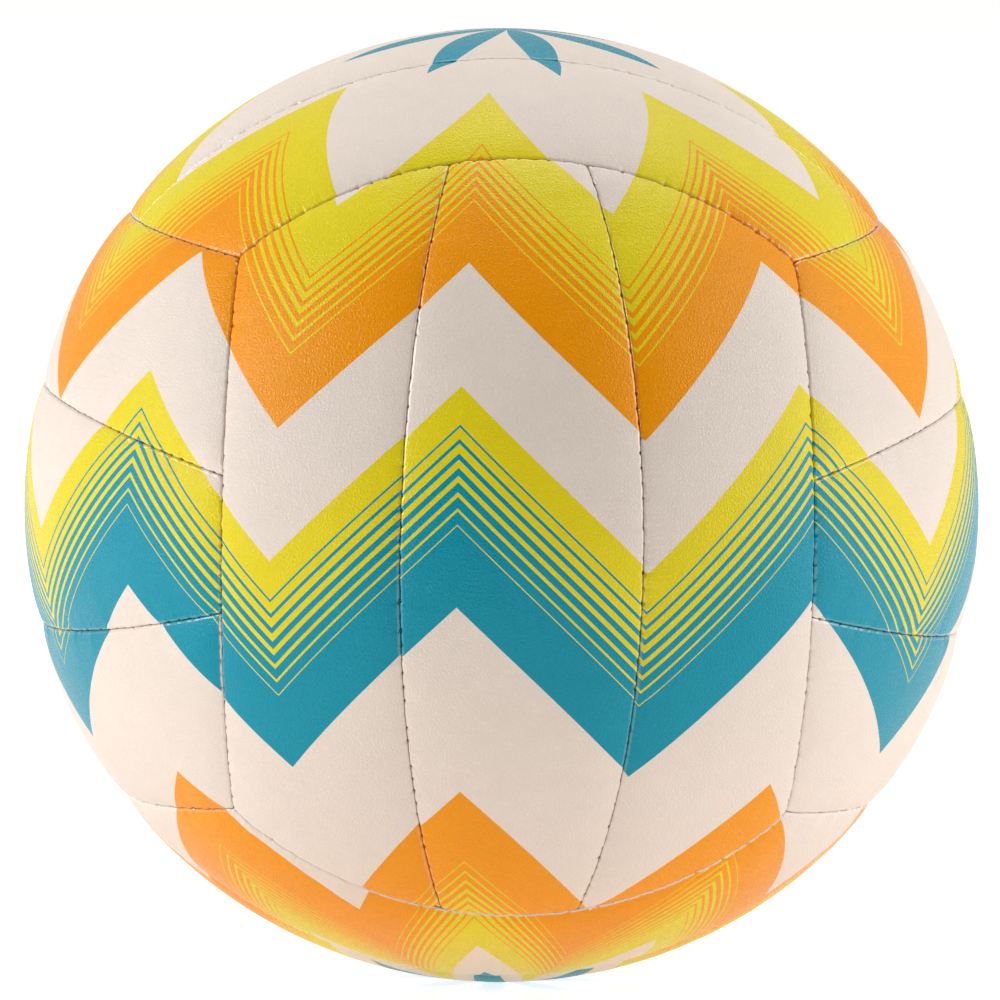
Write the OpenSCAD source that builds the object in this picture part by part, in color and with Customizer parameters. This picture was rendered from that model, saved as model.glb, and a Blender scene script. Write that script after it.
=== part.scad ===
/* [Ball] */
// Distance round the ball, over the crowns of its panels
ball_circumference = 670; // [650:1:680]

/* [Panel pattern] */
// Angle at the ball's centre from the middle of a face to the middle of the seam along its side
side_seam_angle = 37.8; // [36:0.1:41]
// Angle at the ball's centre from the middle of a face to the seam between two of its strips
inner_seam_angle = 14.5; // [12:0.1:17]
// Lean of the seams between strips, which narrows the middle strip towards its ends
inner_seam_lean = 16.8; // [12:0.1:20]

/* [Cover panels] */
// Thickness of the outer skin
skin_t = 0.9; // [0.7:0.1:1.2]
// Thickness of the hem that is turned inwards round each panel
hem_t = 1.3; // [1:0.1:2]
// Gap between the hems of two panels that are sewn together
seam_gap = 0.3; // [0.2:0.1:0.6]
// Width of the groove along a seam
groove_w = 3; // [2:0.1:3.4]
// Depth of the groove along a seam
groove_depth = 1.5; // [1:0.1:1.8]

/* [Backing] */
// Thickness of the foam pad behind each skin
pad_t = 2.8; // [2:0.1:4]
// Thickness of the cloth lining behind each pad
lining_t = 0.5; // [0.3:0.1:0.9]
// Glue line or working gap between two layers
layer_gap = 0.3; // [0.2:0.05:0.5]

/* [Thread] */
// Thickness of the sewing thread
thread_d = 0.7; // [0.4:0.05:0.9]
// Clearance between the thread and the walls of its groove
thread_clearance = 0.1; // [0.05:0.05:0.2]
// How far a thread ends before the seam that it runs into
thread_end_gap = 2.4; // [2:0.1:4]

/* [Bladder] */
// Thickness of the bladder's wall
bladder_t = 0.7; // [0.5:0.1:1.2]

/* [Valve] */
// Diameter of the valve's stem, where it passes through the wall of the ball
stem_d = 10; // [8:0.5:13]
// Diameter of the core that plugs the valve
core_d = 6; // [5.6:0.1:6.6]
// Length of the core, with its nose
core_len = 18; // [14:0.5:22]
// Diameter of the core's nose, which shows in the hole of the cover
nose_d = 4.4; // [4:0.1:5]
// How far the nose lies below the surface of the cover
nose_recess = 0.4; // [0.2:0.1:0.8]
// Diameter of the port for the inflating needle
port_d = 2; // [1.8:0.1:2.4]
// Depth of the port
port_depth = 6; // [4:0.5:8]
// Width of the slit that closes the core below the port
slit_w = 3; // [2:0.25:3.5]
// Opening of the slit
slit_gap = 0.2; // [0.1:0.05:0.3]
// Diameter of the air hole at the foot of the housing
outlet_d = 3; // [2:0.5:4]
// Clearance round the valve's pieces and in the holes that they pass through
valve_clearance = 0.2; // [0.1:0.05:0.3]
// Diameter of the flange that is bonded inside the bladder
flange_d = 26; // [20:1:34]
// Thickness of that flange at its rim
flange_t = 1.2; // [0.8:0.1:2]
// Thickness of the housing's foot below the core
housing_tail = 1.5; // [1:0.5:3]
// Diameter of the patch round the stem, in the layer of the lining
patch_d = 40; // [30:1:48]

/* [Hidden] */
$fn = 180;
FACES = ["front", "back", "left", "right", "top", "bottom"];
LAYERS = ["cover", "pad", "lining"];
// Names of each face's three strips, in order across the face
strip_names = [
    ["left", "middle", "right"],
    ["left", "middle", "right"],
    ["lower", "middle", "upper"],
    ["lower", "middle", "upper"],
    ["front", "middle", "back"],
    ["front", "middle", "back"]
];
PANEL_NODES = [
    for (face = [0 : len(FACES) - 1])
        for (strip = [0 : 2])
            for (layer = LAYERS)
                str(FACES[face], "_", strip_names[face][strip], "_", layer)
];

// Turns that carry a face drawn round +Z, with its strips side by side along X, to its place
face_turns = [
    [90, 0, 0],
    [-90, 0, 0],
    [0, -90, 0],
    [180, -90, 0],
    [0, 0, 90],
    [180, 0, 90]
];

// Radii of the layers, from the outside in
ball_r = ball_circumference / (2 * PI);
skin_in_r = ball_r - skin_t;
pad_out_r = skin_in_r - layer_gap;
pad_in_r = pad_out_r - pad_t;
lining_out_r = pad_in_r - layer_gap;
lining_in_r = lining_out_r - lining_t;
bladder_out_r = lining_in_r - layer_gap;
bladder_in_r = bladder_out_r - bladder_t;

// Insets of the outlines from the middle of a seam
hem_inset = seam_gap / 2;
skin_inset = hem_inset + hem_t;
backing_inset = skin_inset + layer_gap;

// The faces meet three at a time at the corners of a cube in the ball
corner_share = 1 / sqrt(3);
// A side seam is a small circle through two corners: its axis leans away from the face that it bounds
side_seam_lean = atan2(sin(side_seam_angle) - corner_share, cos(side_seam_angle) - corner_share);
side_seam_share = corner_share * (cos(side_seam_lean) - sin(side_seam_lean));
side_seam_half = acos(side_seam_share);
side_seam_sweep = asin(corner_share / sin(side_seam_half));
// A seam between strips lies in a plane this share of the radius from the centre
inner_seam_share = sin(inner_seam_angle - inner_seam_lean);
inner_seam_half = acos(inner_seam_share);
// Where that seam runs into the end of its face, on a ball of radius 1
inner_x = [inner_seam_share / cos(inner_seam_lean), tan(inner_seam_lean)];
inner_y = [-side_seam_share / sin(side_seam_lean), 1 / tan(side_seam_lean)];
end_a = 1 + inner_x[1] * inner_x[1] + inner_y[1] * inner_y[1];
end_b = inner_x[0] * inner_x[1] + inner_y[0] * inner_y[1];
end_c = inner_x[0] * inner_x[0] + inner_y[0] * inner_y[0] - 1;
end_z_share = (sqrt(end_b * end_b - end_a * end_c) - end_b) / end_a;
end_y_share = inner_y[0] + inner_y[1] * end_z_share;
inner_seam_sweep = asin(end_y_share / sin(inner_seam_half));

// The thread lies low in its groove, clear of both walls
thread_r = thread_d / 2;
groove_half_opening = atan2(groove_w / 2, groove_depth);
thread_path_r = ball_r - groove_depth + (thread_r + thread_clearance) / sin(groove_half_opening);

// The valve's levels, along its axis from the ball's centre
nose_top = ball_r - nose_recess;
stem_top = pad_out_r;
port_foot = nose_top - port_depth;
core_bottom = nose_top - core_len;
chamber_bottom = core_bottom - valve_clearance;
housing_bottom = chamber_bottom - housing_tail;
// The flange's upper face follows the ball's curve, so its foot lies lower by that curve's rise
flange_bottom = bladder_in_r - layer_gap - flange_t - flange_d * flange_d / (8 * bladder_in_r);
chamber_d = core_d + 2 * valve_clearance;
stem_hole_d = stem_d + 2 * valve_clearance;
nose_hole_d = nose_d + 2 * valve_clearance;
patch_hole_d = patch_d + 2 * layer_gap;

// Overrun of cutting shapes
overrun = 1;

// Angle at the ball's centre of a length on its surface
function arc_angle(length) = length / ball_r * 180 / PI;

// A ball about the centre, turned so that its poles lie clear of a face drawn round +Z
module ball(r) {
    rotate([90, 0, 0]) sphere(r);
}

// A hollow ball about the centre
module shell(r_out, r_in) {
    difference() {
        ball(r_out);
        ball(r_in);
    }
}

// A ball whose surface meets this one squarely, along the circle at an angle from +Z
module cap(half_angle) {
    translate([0, 0, ball_r / cos(half_angle)]) sphere(ball_r * tan(half_angle));
}

// What lies past the side seam of a face, on its +X side
module side_cap(inset) {
    rotate([0, 90 + side_seam_lean, 0]) cap(side_seam_half + arc_angle(inset));
}

// What lies on the face's side of the seam at its +Y end
module end_cap(inset) {
    rotate([side_seam_lean, 0, 0]) cap(side_seam_half - arc_angle(inset));
}

// What lies past the seam between two strips, on the +X side, as a block larger than the ball
module past_inner_seam(inset) {
    size = 4 * ball_r;
    plane_at = inner_seam_share * ball_r + inset;
    rotate([0, 90 + inner_seam_lean, 0])
        translate([-size / 2, -size / 2, plane_at])
            cube(size);
}

// A piece as drawn for turn 0, and turned half round about +Z for turn 1
module sides(turns) {
    for (turn = turns) rotate([0, 0, 180 * turn]) children();
}

// The part of a shell that one strip covers, with its outline drawn in by the inset
module strip_shell(strip, r_out, r_in, inset) {
    if (strip == 1) {
        difference() {
            intersection() {
                shell(r_out, r_in);
                end_cap(inset);
                sides([1]) end_cap(inset);
            }
            past_inner_seam(-inset);
            sides([1]) past_inner_seam(-inset);
        }
    } else {
        sides([1 - strip / 2]) difference() {
            intersection() {
                shell(r_out, r_in);
                end_cap(inset);
                sides([1]) end_cap(inset);
                past_inner_seam(inset);
            }
            side_cap(inset);
        }
    }
}

// A ring with a V section, whose edge lies along the circle at an angle from +Z
module groove_ring(half_angle) {
    top_r = ball_r + overrun;
    foot_r = ball_r - groove_depth;
    half_w = groove_w / 2 * (groove_depth + overrun) / groove_depth;
    foot = foot_r * [sin(half_angle), cos(half_angle)];
    top = top_r * [sin(half_angle), cos(half_angle)];
    across = half_w * [cos(half_angle), -sin(half_angle)];
    rotate_extrude() polygon([foot, top + across, top - across]);
}

// Cuts the groove along the seam at one end of a face out of a piece
module with_end_groove(turn) {
    difference() {
        children();
        sides([turn]) rotate([side_seam_lean, 0, 0]) groove_ring(side_seam_half);
    }
}

// Cuts the groove along the seam at one side of a face out of a piece
module with_side_groove(turn) {
    difference() {
        children();
        sides([turn]) rotate([0, 90 + side_seam_lean, 0]) groove_ring(side_seam_half);
    }
}

// Cuts the groove along a seam between two strips out of a piece
module with_inner_groove(turn) {
    difference() {
        children();
        sides([turn]) rotate([0, 90 + inner_seam_lean, 0]) groove_ring(inner_seam_half);
    }
}

// A round hole or boss on the axis of a face drawn round +Z
module on_axis(d, from_r, to_r) {
    translate([0, 0, from_r]) cylinder(d = d, h = to_r - from_r);
}

// The skin of one strip and the hem turned inwards all round it
module hemmed_skin(strip) {
    difference() {
        strip_shell(strip, ball_r, lining_in_r, hem_inset);
        strip_shell(strip, skin_in_r, bladder_in_r, skin_inset);
    }
}

// The outer cover of one strip, drawn in along its sewn edges
module cover(strip) {
    turn = 1 - strip / 2;
    color("ivory") with_end_groove(0) with_end_groove(1) {
        if (strip == 1) with_inner_groove(0) with_inner_groove(1) hemmed_skin(strip);
        if (strip != 1) with_inner_groove(turn) with_side_groove(turn) hemmed_skin(strip);
    }
}

// The foam pad of one strip
module pad(strip) {
    color("lightgray") strip_shell(strip, pad_out_r, pad_in_r, backing_inset);
}

// The cloth lining of one strip
module lining(strip) {
    color("white") strip_shell(strip, lining_out_r, lining_in_r, backing_inset);
}

// One layer of one strip, in its place on the ball; the valve comes through the middle of the back
module panel_layer(face, strip, layer) {
    has_valve = FACES[face] == "back" && strip == 1;
    rotate(face_turns[face]) difference() {
        if (layer == "cover") {
            cover(strip);
        } else if (layer == "pad") {
            pad(strip);
        } else {
            lining(strip);
        }
        if (has_valve && layer == "cover") on_axis(nose_hole_d, housing_bottom, ball_r + overrun);
        if (has_valve && layer == "pad") on_axis(stem_hole_d, housing_bottom, ball_r + overrun);
        if (has_valve && layer == "lining") on_axis(patch_hole_d, housing_bottom, ball_r + overrun);
    }
}

// Carries a piece drawn round +Z to the middle of the back face
module at_valve() {
    rotate(face_turns[1]) children();
}

// The airtight rubber ball inside the panels
module bladder() {
    color("black") at_valve() difference() {
        shell(bladder_out_r, bladder_in_r);
        on_axis(stem_hole_d, housing_bottom, ball_r);
    }
}

// The rubber housing of the valve: flange and stem in one, hollow for the core
module valve_body() {
    color("dimgray") at_valve() difference() {
        union() {
            intersection() {
                on_axis(flange_d, flange_bottom, bladder_out_r);
                ball(bladder_in_r - layer_gap);
            }
            on_axis(stem_d, housing_bottom, stem_top);
        }
        on_axis(chamber_d, chamber_bottom, stem_top + overrun);
        on_axis(outlet_d, housing_bottom - overrun, chamber_bottom + overrun);
    }
}

// The rubber plug in the housing: its nose has the needle's port, and a slit closes the rest
module valve_core() {
    slit_from = core_bottom - overrun;
    slit_to = port_foot + port_d / 2;
    color("gray") at_valve() difference() {
        union() {
            on_axis(core_d, core_bottom, stem_top);
            on_axis(nose_d, core_bottom, nose_top);
        }
        on_axis(port_d, port_foot, nose_top + overrun);
        translate([-slit_w / 2, -slit_gap / 2, slit_from])
            cube([slit_w, slit_gap, slit_to - slit_from]);
    }
}

// The disc that reinforces the wall round the stem
module valve_patch() {
    color("wheat") at_valve() difference() {
        intersection() {
            shell(lining_out_r, lining_in_r);
            on_axis(patch_d, housing_bottom, ball_r);
        }
        on_axis(stem_hole_d, housing_bottom, ball_r);
    }
}

// A thread along part of the circle at an angle from +Z, centred on the -X side
module thread(half_angle, sweep) {
    path_r = thread_path_r * sin(half_angle);
    trimmed = sweep - thread_end_gap / path_r * 180 / PI;
    rotate([0, 0, 180 - trimmed])
        rotate_extrude(angle = 2 * trimmed)
            translate([path_r, thread_path_r * cos(half_angle)])
                circle(thread_r);
}

// The threads of the twelve seams between faces, two owned by each face
module face_seam_threads() {
    color("gray")
        for (turn = face_turns)
            rotate(turn)
                sides([0, 1])
                    rotate([0, 90 + side_seam_lean, 0])
                        thread(side_seam_half, side_seam_sweep);
}

// The threads of the twelve seams between strips, two on each face
module strip_seam_threads() {
    color("gray")
        for (turn = face_turns)
            rotate(turn)
                sides([0, 1])
                    rotate([0, 90 + inner_seam_lean, 0])
                        thread(inner_seam_half, inner_seam_sweep);
}

for (face = [0 : len(FACES) - 1])
    for (strip = [0 : 2])
        for (layer = LAYERS)
            panel_layer(face, strip, layer);
bladder();
valve_body();
valve_core();
valve_patch();
face_seam_threads();
strip_seam_threads();
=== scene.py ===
"""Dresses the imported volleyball: a stitched, soft-touch ball of eighteen panels.

Each face of the ball has three strips. Every strip is a cover of pebbled synthetic leather whose
edges roll into the seams, over a foam pad and a cloth lining. The seams are closed with thread, and
the bladder's valve shows in a hole at the back. The ball's centre is the origin and lengths are in
metres. A face is worked out in its own frame, with its middle on Z and its strips side by side
along X, and is then carried to its place.
"""
import logging
import math
from abc import ABC, abstractmethod
from dataclasses import dataclass, field
from enum import Enum

import bpy
import numpy as np
from mathutils import Matrix, Vector


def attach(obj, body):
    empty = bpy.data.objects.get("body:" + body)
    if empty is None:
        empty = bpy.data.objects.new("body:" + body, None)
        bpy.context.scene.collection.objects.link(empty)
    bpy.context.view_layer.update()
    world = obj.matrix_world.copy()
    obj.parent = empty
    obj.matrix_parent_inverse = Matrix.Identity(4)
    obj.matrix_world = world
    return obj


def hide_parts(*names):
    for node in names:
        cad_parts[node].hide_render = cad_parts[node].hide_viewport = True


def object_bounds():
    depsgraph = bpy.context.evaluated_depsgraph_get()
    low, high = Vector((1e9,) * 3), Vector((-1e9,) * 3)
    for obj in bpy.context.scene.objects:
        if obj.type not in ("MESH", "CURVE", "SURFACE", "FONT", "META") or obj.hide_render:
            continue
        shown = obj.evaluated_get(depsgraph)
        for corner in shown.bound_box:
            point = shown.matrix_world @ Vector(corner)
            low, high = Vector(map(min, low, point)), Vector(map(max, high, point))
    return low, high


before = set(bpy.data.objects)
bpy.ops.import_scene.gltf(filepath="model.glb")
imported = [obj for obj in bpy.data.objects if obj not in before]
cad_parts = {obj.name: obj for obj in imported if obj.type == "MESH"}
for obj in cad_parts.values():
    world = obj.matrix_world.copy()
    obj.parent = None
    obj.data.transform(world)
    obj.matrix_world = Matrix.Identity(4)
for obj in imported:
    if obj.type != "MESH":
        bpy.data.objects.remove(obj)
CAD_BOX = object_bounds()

LOG = logging.getLogger("volleyball")
MM = 0.001
BODY = "root"
RELIEF_SEED, SWELL_SEED, PRINT_SEED = 20, 120, 220
SIZE_CHORDS = 40
SPACING_SAMPLES = 4000

Array = np.ndarray
Socket = bpy.types.NodeSocket
Sockets = bpy.types.NodeOutputs
Value = float | tuple | Socket
Colour = tuple[float, float, float, float]
# A map of a number: from low to high it becomes one from start to end. The four in that order.
Ramp = tuple[float, float, float, float]
# Rows and columns of a grid's points.
Block = tuple[slice, slice]


def screen_colour(red: int, green: int, blue: int) -> Colour:
    """Turns a colour as a screen shows it into the linear one that a shader takes.

    It follows the sRGB curve, which is straight near black and a power above that.

    Args:
        red: Red from 0 to 255.
        green: Green from 0 to 255.
        blue: Blue from 0 to 255.

    Returns:
        The linear colour with a full alpha.
    """
    shares = np.array([red, green, blue]) / 255
    linear = np.where(shares <= 0.04045, shares / 12.92, ((shares + 0.055) / 1.055) ** 2.4)
    return (*map(float, linear), 1.0)


def unit(points: Array) -> Array:
    """Scales each point of an array to length 1."""
    return points / np.linalg.norm(points, axis=-1, keepdims=True)


class Face(Enum):
    """The six faces: name, names of the strips along X, and where the face's X, Y and Z point."""

    FRONT = ("front", ("left", "middle", "right"), ((1, 0, 0), (0, 0, 1), (0, -1, 0)))
    BACK = ("back", ("left", "middle", "right"), ((1, 0, 0), (0, 0, -1), (0, 1, 0)))
    LEFT = ("left", ("lower", "middle", "upper"), ((0, 0, 1), (0, 1, 0), (-1, 0, 0)))
    RIGHT = ("right", ("lower", "middle", "upper"), ((0, 0, 1), (0, -1, 0), (1, 0, 0)))
    TOP = ("top", ("front", "middle", "back"), ((0, 1, 0), (-1, 0, 0), (0, 0, 1)))
    BOTTOM = ("bottom", ("front", "middle", "back"), ((0, 1, 0), (1, 0, 0), (0, 0, -1)))

    def place(self, points: Array) -> Array:
        """Carries points from the face's own frame to the ball's."""
        return points @ np.array(self.value[2], float)

    def strip_name(self, strip: int) -> str:
        """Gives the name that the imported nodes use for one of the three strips."""
        return f"{self.value[0]}_{self.value[1][strip]}"


@dataclass(frozen=True)
class Seam:
    """One edge of a panel: a circle that a plane cuts on the ball, in the face's frame.

    The plane holds the points whose share along the normal is the offset. Inside is 1 where the
    panel lies on the side that the normal points to, and -1 on the other side.
    """

    normal: tuple[float, float, float]
    offset: float
    along: tuple[float, float, float]
    inside: int

    def distance(self, directions: Array, radius: float) -> Array:
        """Distance on the ball from the seam into the panel: the difference of two arcs."""
        share = np.clip(directions @ np.array(self.normal), -1, 1)
        return self.inside * radius * (math.acos(self.offset) - np.arccos(share))

    def arc(self, directions: Array, radius: float) -> Array:
        """Distance along the seam from its middle: the turn round its axis times its radius.

        Args:
            directions: Unit vectors in the face's frame.
            radius: Radius of the ball.

        Returns:
            The distances, with a sign.
        """
        along = np.array(self.along)
        across = np.cross(self.normal, along)
        turn = np.arctan2(directions @ along, directions @ across)
        return turn * radius * math.sqrt(1 - self.offset**2)

    def inward(self, directions: Array) -> Array:
        """Unit step along the ball that leads straight away from the seam into the panel."""
        normal = np.array(self.normal)
        return self.inside * unit(normal - (directions @ normal)[..., None] * directions)

    def line(self, arc: Array, radius: float) -> tuple[Array, Array]:
        """Points of the seam on a ball of radius 1, and the step across the seam at each.

        Args:
            arc: Distances from the middle of the seam along it.
            radius: Radius of the ball.

        Returns:
            The points, offset * normal + rim * (cos t * across + sin t * along) with t the arc
            over the rim's radius, and the unit steps across the seam, both as rows.
        """
        normal, along = np.array(self.normal), np.array(self.along)
        rim = math.sqrt(1 - self.offset**2)
        turn = (arc / radius / rim)[:, None]
        spoke = np.cos(turn) * np.cross(normal, along) + np.sin(turn) * along
        return self.offset * normal + rim * spoke, rim * normal - self.offset * spoke


@dataclass(frozen=True)
class PanelPattern:
    """The layout of the seams, from three angles, in degrees, and the ball's radius."""

    radius: float
    side_angle: float = 37.8
    inner_angle: float = 14.5
    inner_lean: float = 16.8

    @property
    def side_lean(self) -> float:
        """Lean in radians of a side seam's plane, which runs through two corners of a cube."""
        corner, half = 1 / math.sqrt(3), math.radians(self.side_angle)
        return math.atan2(math.sin(half) - corner, math.cos(half) - corner)

    @property
    def side_offset(self) -> float:
        """Distance of a side seam's plane from the centre of a ball of radius 1."""
        return (math.cos(self.side_lean) - math.sin(self.side_lean)) / math.sqrt(3)

    @property
    def inner_offset(self) -> float:
        """Distance of an inner seam's plane from the centre of a ball of radius 1."""
        return math.sin(math.radians(self.inner_angle - self.inner_lean))

    @property
    def side_length(self) -> float:
        """Length of a side seam, from corner to corner."""
        rim = math.sqrt(1 - self.side_offset**2)
        return 2 * self.radius * rim * math.asin(1 / math.sqrt(3) / rim)

    def long_seam(self, hand: int, inside: int, lean: float, offset: float) -> Seam:
        """A seam along a face. Hand is 1 towards +X and -1 towards -X, and its plane leans."""
        normal = (hand * math.cos(lean), 0.0, -math.sin(lean))
        return Seam(normal, offset, (0.0, float(hand), 0.0), inside)

    def side_seam(self, hand: int) -> Seam:
        """The seam along a face's side, with the panel between it and the face's middle."""
        return self.long_seam(hand, -1, self.side_lean, self.side_offset)

    def inner_seam(self, hand: int, inside: int) -> Seam:
        """The seam between the middle strip and the outer strip on one hand."""
        return self.long_seam(hand, inside, math.radians(self.inner_lean), self.inner_offset)

    def end_seam(self, hand: int) -> Seam:
        """The neighbouring face's side seam, which closes the strips towards +Y or -Y."""
        normal = (0.0, -hand * math.sin(self.side_lean), math.cos(self.side_lean))
        return Seam(normal, self.side_offset, (float(hand), 0.0, 0.0), 1)

    def edges(self, strip: int) -> tuple[Seam, ...]:
        """The four seams round a strip.

        Args:
            strip: Which of the face's three strips.

        Returns:
            The seams towards -X, +X, -Y and +Y.
        """
        low, high = [
            (self.side_seam(-1), self.inner_seam(-1, 1)),
            (self.inner_seam(-1, -1), self.inner_seam(1, -1)),
            (self.inner_seam(1, 1), self.side_seam(1)),
        ][strip]
        return low, high, self.end_seam(-1), self.end_seam(1)

    def directions(self, strip: int, across: Array, along: Array) -> Array:
        """Points of a strip on a ball of radius 1.

        One family of planes, cos a * x - sin a * z = p, turns from one long seam to the other. A
        second, cos b * y + sin b * z = q, turns from one end seam to the other. The point is where
        a plane of each meets the ball, at the greater of the two heights z.

        Args:
            strip: Which of the face's three strips.
            across: From 0 to 1 over the strip's width.
            along: From -1 to 1 over its length.

        Returns:
            Unit vectors, in the shape that the two inputs broadcast to.
        """
        side = (self.side_lean, math.asin(self.side_offset))
        inner = (math.radians(self.inner_lean), math.asin(self.inner_offset))
        low, high = [
            ((-side[0], -side[1]), (-inner[0], -inner[1])),
            ((-inner[0], -inner[1]), inner),
            (inner, side),
        ][strip]
        a = low[0] + (high[0] - low[0]) * across
        p = np.sin(low[1] + (high[1] - low[1]) * across)
        b = -(math.pi / 2 - self.side_lean) * along
        q = -np.sin(math.asin(self.side_offset) * along)
        square = 1 + np.tan(a) ** 2 + np.tan(b) ** 2
        middle = p * np.tan(a) / np.cos(a) - q * np.tan(b) / np.cos(b)
        rest = (p / np.cos(a)) ** 2 + (q / np.cos(b)) ** 2 - 1
        z = (np.sqrt(middle**2 - square * rest) - middle) / square
        x = (p + np.sin(a) * z) / np.cos(a)
        y = (q - np.sin(b) * z) / np.cos(b)
        return unit(np.stack([x, y, z], axis=-1))

    def size(self, strip: int) -> tuple[float, float]:
        """Mean size of a strip on the ball, as sums of short chords.

        Args:
            strip: Which of the face's three strips.

        Returns:
            Its width and its length.
        """
        steps = np.linspace(0, 1, SIZE_CHORDS + 1)
        grid = self.directions(strip, steps[:, None], 2 * steps[None, :] - 1)
        chords = [np.linalg.norm(np.diff(grid, axis=k), axis=-1).sum(axis=k) for k in (0, 1)]
        return tuple(self.radius * float(c.mean()) for c in chords)


class MeshParts:
    """Gathers points and faces as whole arrays and makes one mesh of them."""

    def __init__(self) -> None:
        """Starts with no points and no faces."""
        self.points: list[Array] = []
        self.faces: dict[int, list[Array]] = {3: [], 4: []}
        self.count = 0

    def add(self, points: Array) -> Array:
        """Adds points.

        Args:
            points: The points, with x, y and z on the last axis.

        Returns:
            Their numbers, in an array of the same shape less the last axis.
        """
        index = self.count + np.arange(points[..., 0].size).reshape(points.shape[:-1])
        self.points.append(points.reshape(-1, 3))
        self.count += index.size
        return index

    def add_faces(self, corners: Array) -> None:
        """Adds faces whose corners are on the last axis, three or four of them."""
        self.faces[corners.shape[-1]].append(corners.reshape(-1, corners.shape[-1]))

    def grid(self, index: Array, inwards: bool = False, hole: Block | None = None) -> None:
        """Joins a grid of points with quads.

        Args:
            index: Numbers of the points, X along the first axis and Y along the second.
            inwards: Whether the faces look towards the ball's centre.
            hole: Points of a block that stays open.
        """
        a, b, c, d = index[:-1, :-1], index[1:, :-1], index[1:, 1:], index[:-1, 1:]
        quads = np.stack([a, d, c, b] if inwards else [a, b, c, d], axis=-1)
        keep = np.ones(a.shape, bool)
        if hole:
            keep[tuple(slice(part.start, part.stop - 1) for part in hole)] = False
        self.add_faces(quads[keep])

    def wall(self, loop: Array, below: Array) -> None:
        """Carries the surface on from one closed loop to the next, which has as many points."""
        after, after_below = np.roll(loop, -1), np.roll(below, -1)
        self.add_faces(np.stack([after, loop, below, after_below], axis=-1))

    def bridge(self, fine: Array, coarse: Array, outwards: bool = False) -> None:
        """Joins a loop to one with fewer points, as fans of triangles.

        Args:
            fine: The loop with more points.
            coarse: The loop with fewer points.
            outwards: Whether the surface goes on from the coarse loop to the fine one.
        """
        ratio = len(fine) // len(coarse)
        ahead = np.roll(coarse, -1)
        fans = fine.reshape(-1, ratio)
        nexts = np.roll(fine, -1).reshape(-1, ratio)
        half, order = ratio // 2, -1 if outwards else 1
        for k in range(ratio):
            hub = coarse if k < half else ahead
            self.add_faces(np.stack([nexts[:, k], fans[:, k], hub][::order], axis=-1))
        self.add_faces(np.stack([fans[:, half], coarse, ahead][::order], axis=-1))

    def piece(self, name: str, place: Face | None = None) -> bpy.types.Object:
        """Makes the object, at the origin, with its place in its mesh and smooth faces.

        Args:
            name: Name of the object and its mesh.
            place: The face in whose frame the points are, if they aren't in the ball's.

        Returns:
            The object, linked to the scene.
        """
        points = np.concatenate(self.points)
        points = points if place is None else place.place(points)
        groups = [np.concatenate(self.faces[n]) for n in (3, 4) if self.faces[n]]
        corners = np.concatenate([g.ravel() for g in groups])
        sizes = np.concatenate([np.full(len(g), g.shape[1]) for g in groups])
        mesh = bpy.data.meshes.new(name)
        mesh.vertices.add(len(points))
        mesh.vertices.foreach_set("co", points.astype(np.float32).ravel())
        mesh.loops.add(len(corners))
        mesh.loops.foreach_set("vertex_index", corners.astype(np.int32))
        mesh.polygons.add(len(sizes))
        starts = np.concatenate([[0], np.cumsum(sizes)[:-1]])
        mesh.polygons.foreach_set("loop_start", starts.astype(np.int32))
        mesh.polygons.foreach_set("use_smooth", np.ones(len(sizes), bool))
        mesh.update(calc_edges=True)
        mesh.validate()
        made = bpy.data.objects.new(name, mesh)
        bpy.context.scene.collection.objects.link(made)
        return made


def rim(index: Array) -> Array:
    """The closed loop of numbers round a grid of points, with the grid on its left."""
    return np.concatenate([index[:-1, 0], index[-1, :-1], index[:0:-1, -1], index[0, :0:-1]])


def turned(loop: Array) -> Array:
    """The same closed loop run the other way, from the same first point."""
    return np.roll(loop[::-1], 1)


def rim_points(grid: Array, backwards: bool = False) -> Array:
    """The rows of a grid of points that lie on its rim, in the order of rim().

    Args:
        grid: Points with X along the first axis and Y along the second.
        backwards: Whether the loop runs the other way, as turned() gives it.

    Returns:
        The points round the rim, one row each.
    """
    index = np.arange(grid[..., 0].size).reshape(grid.shape[:-1])
    loop = turned(rim(index)) if backwards else rim(index)
    return grid.reshape(-1, grid.shape[-1])[loop]


def write_attribute(piece: bpy.types.Object, name: str, values: Array) -> None:
    """Stores a value for each point of a piece.

    Args:
        piece: The piece.
        name: Name of the attribute, as a finish reads it.
        values: One number a point, or one row of three.
    """
    kind, key = ("FLOAT_VECTOR", "vector") if values.ndim == 2 else ("FLOAT", "value")
    layer = piece.data.attributes.new(name, kind, "POINT")
    layer.data.foreach_set(key, values.astype(np.float32).ravel())


def spaced(length: float, edge: float, inner: float, growth: float) -> Array:
    """Sample places over a length, close together at both ends and even in the middle.

    The step at a place is the edge step plus growth times the distance to the nearer end, up to
    the inner step. The places come from the running sum of 1 over the step.

    Args:
        length: The length to sample.
        edge: Step at the two ends.
        inner: Step in the middle.
        growth: How fast the step grows away from an end.

    Returns:
        Places from 0 to 1, with an even number of steps.
    """
    place = np.linspace(0, length, SPACING_SAMPLES + 1)
    step = np.minimum(edge + growth * np.minimum(place, length - place), inner)
    total = np.concatenate([[0], np.cumsum((1 / step[1:] + 1 / step[:-1]) / 2 * np.diff(place))])
    count = 2 * math.ceil(total[-1] / 2)
    return np.interp(np.linspace(0, total[-1], count + 1), total, place) / length


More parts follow.
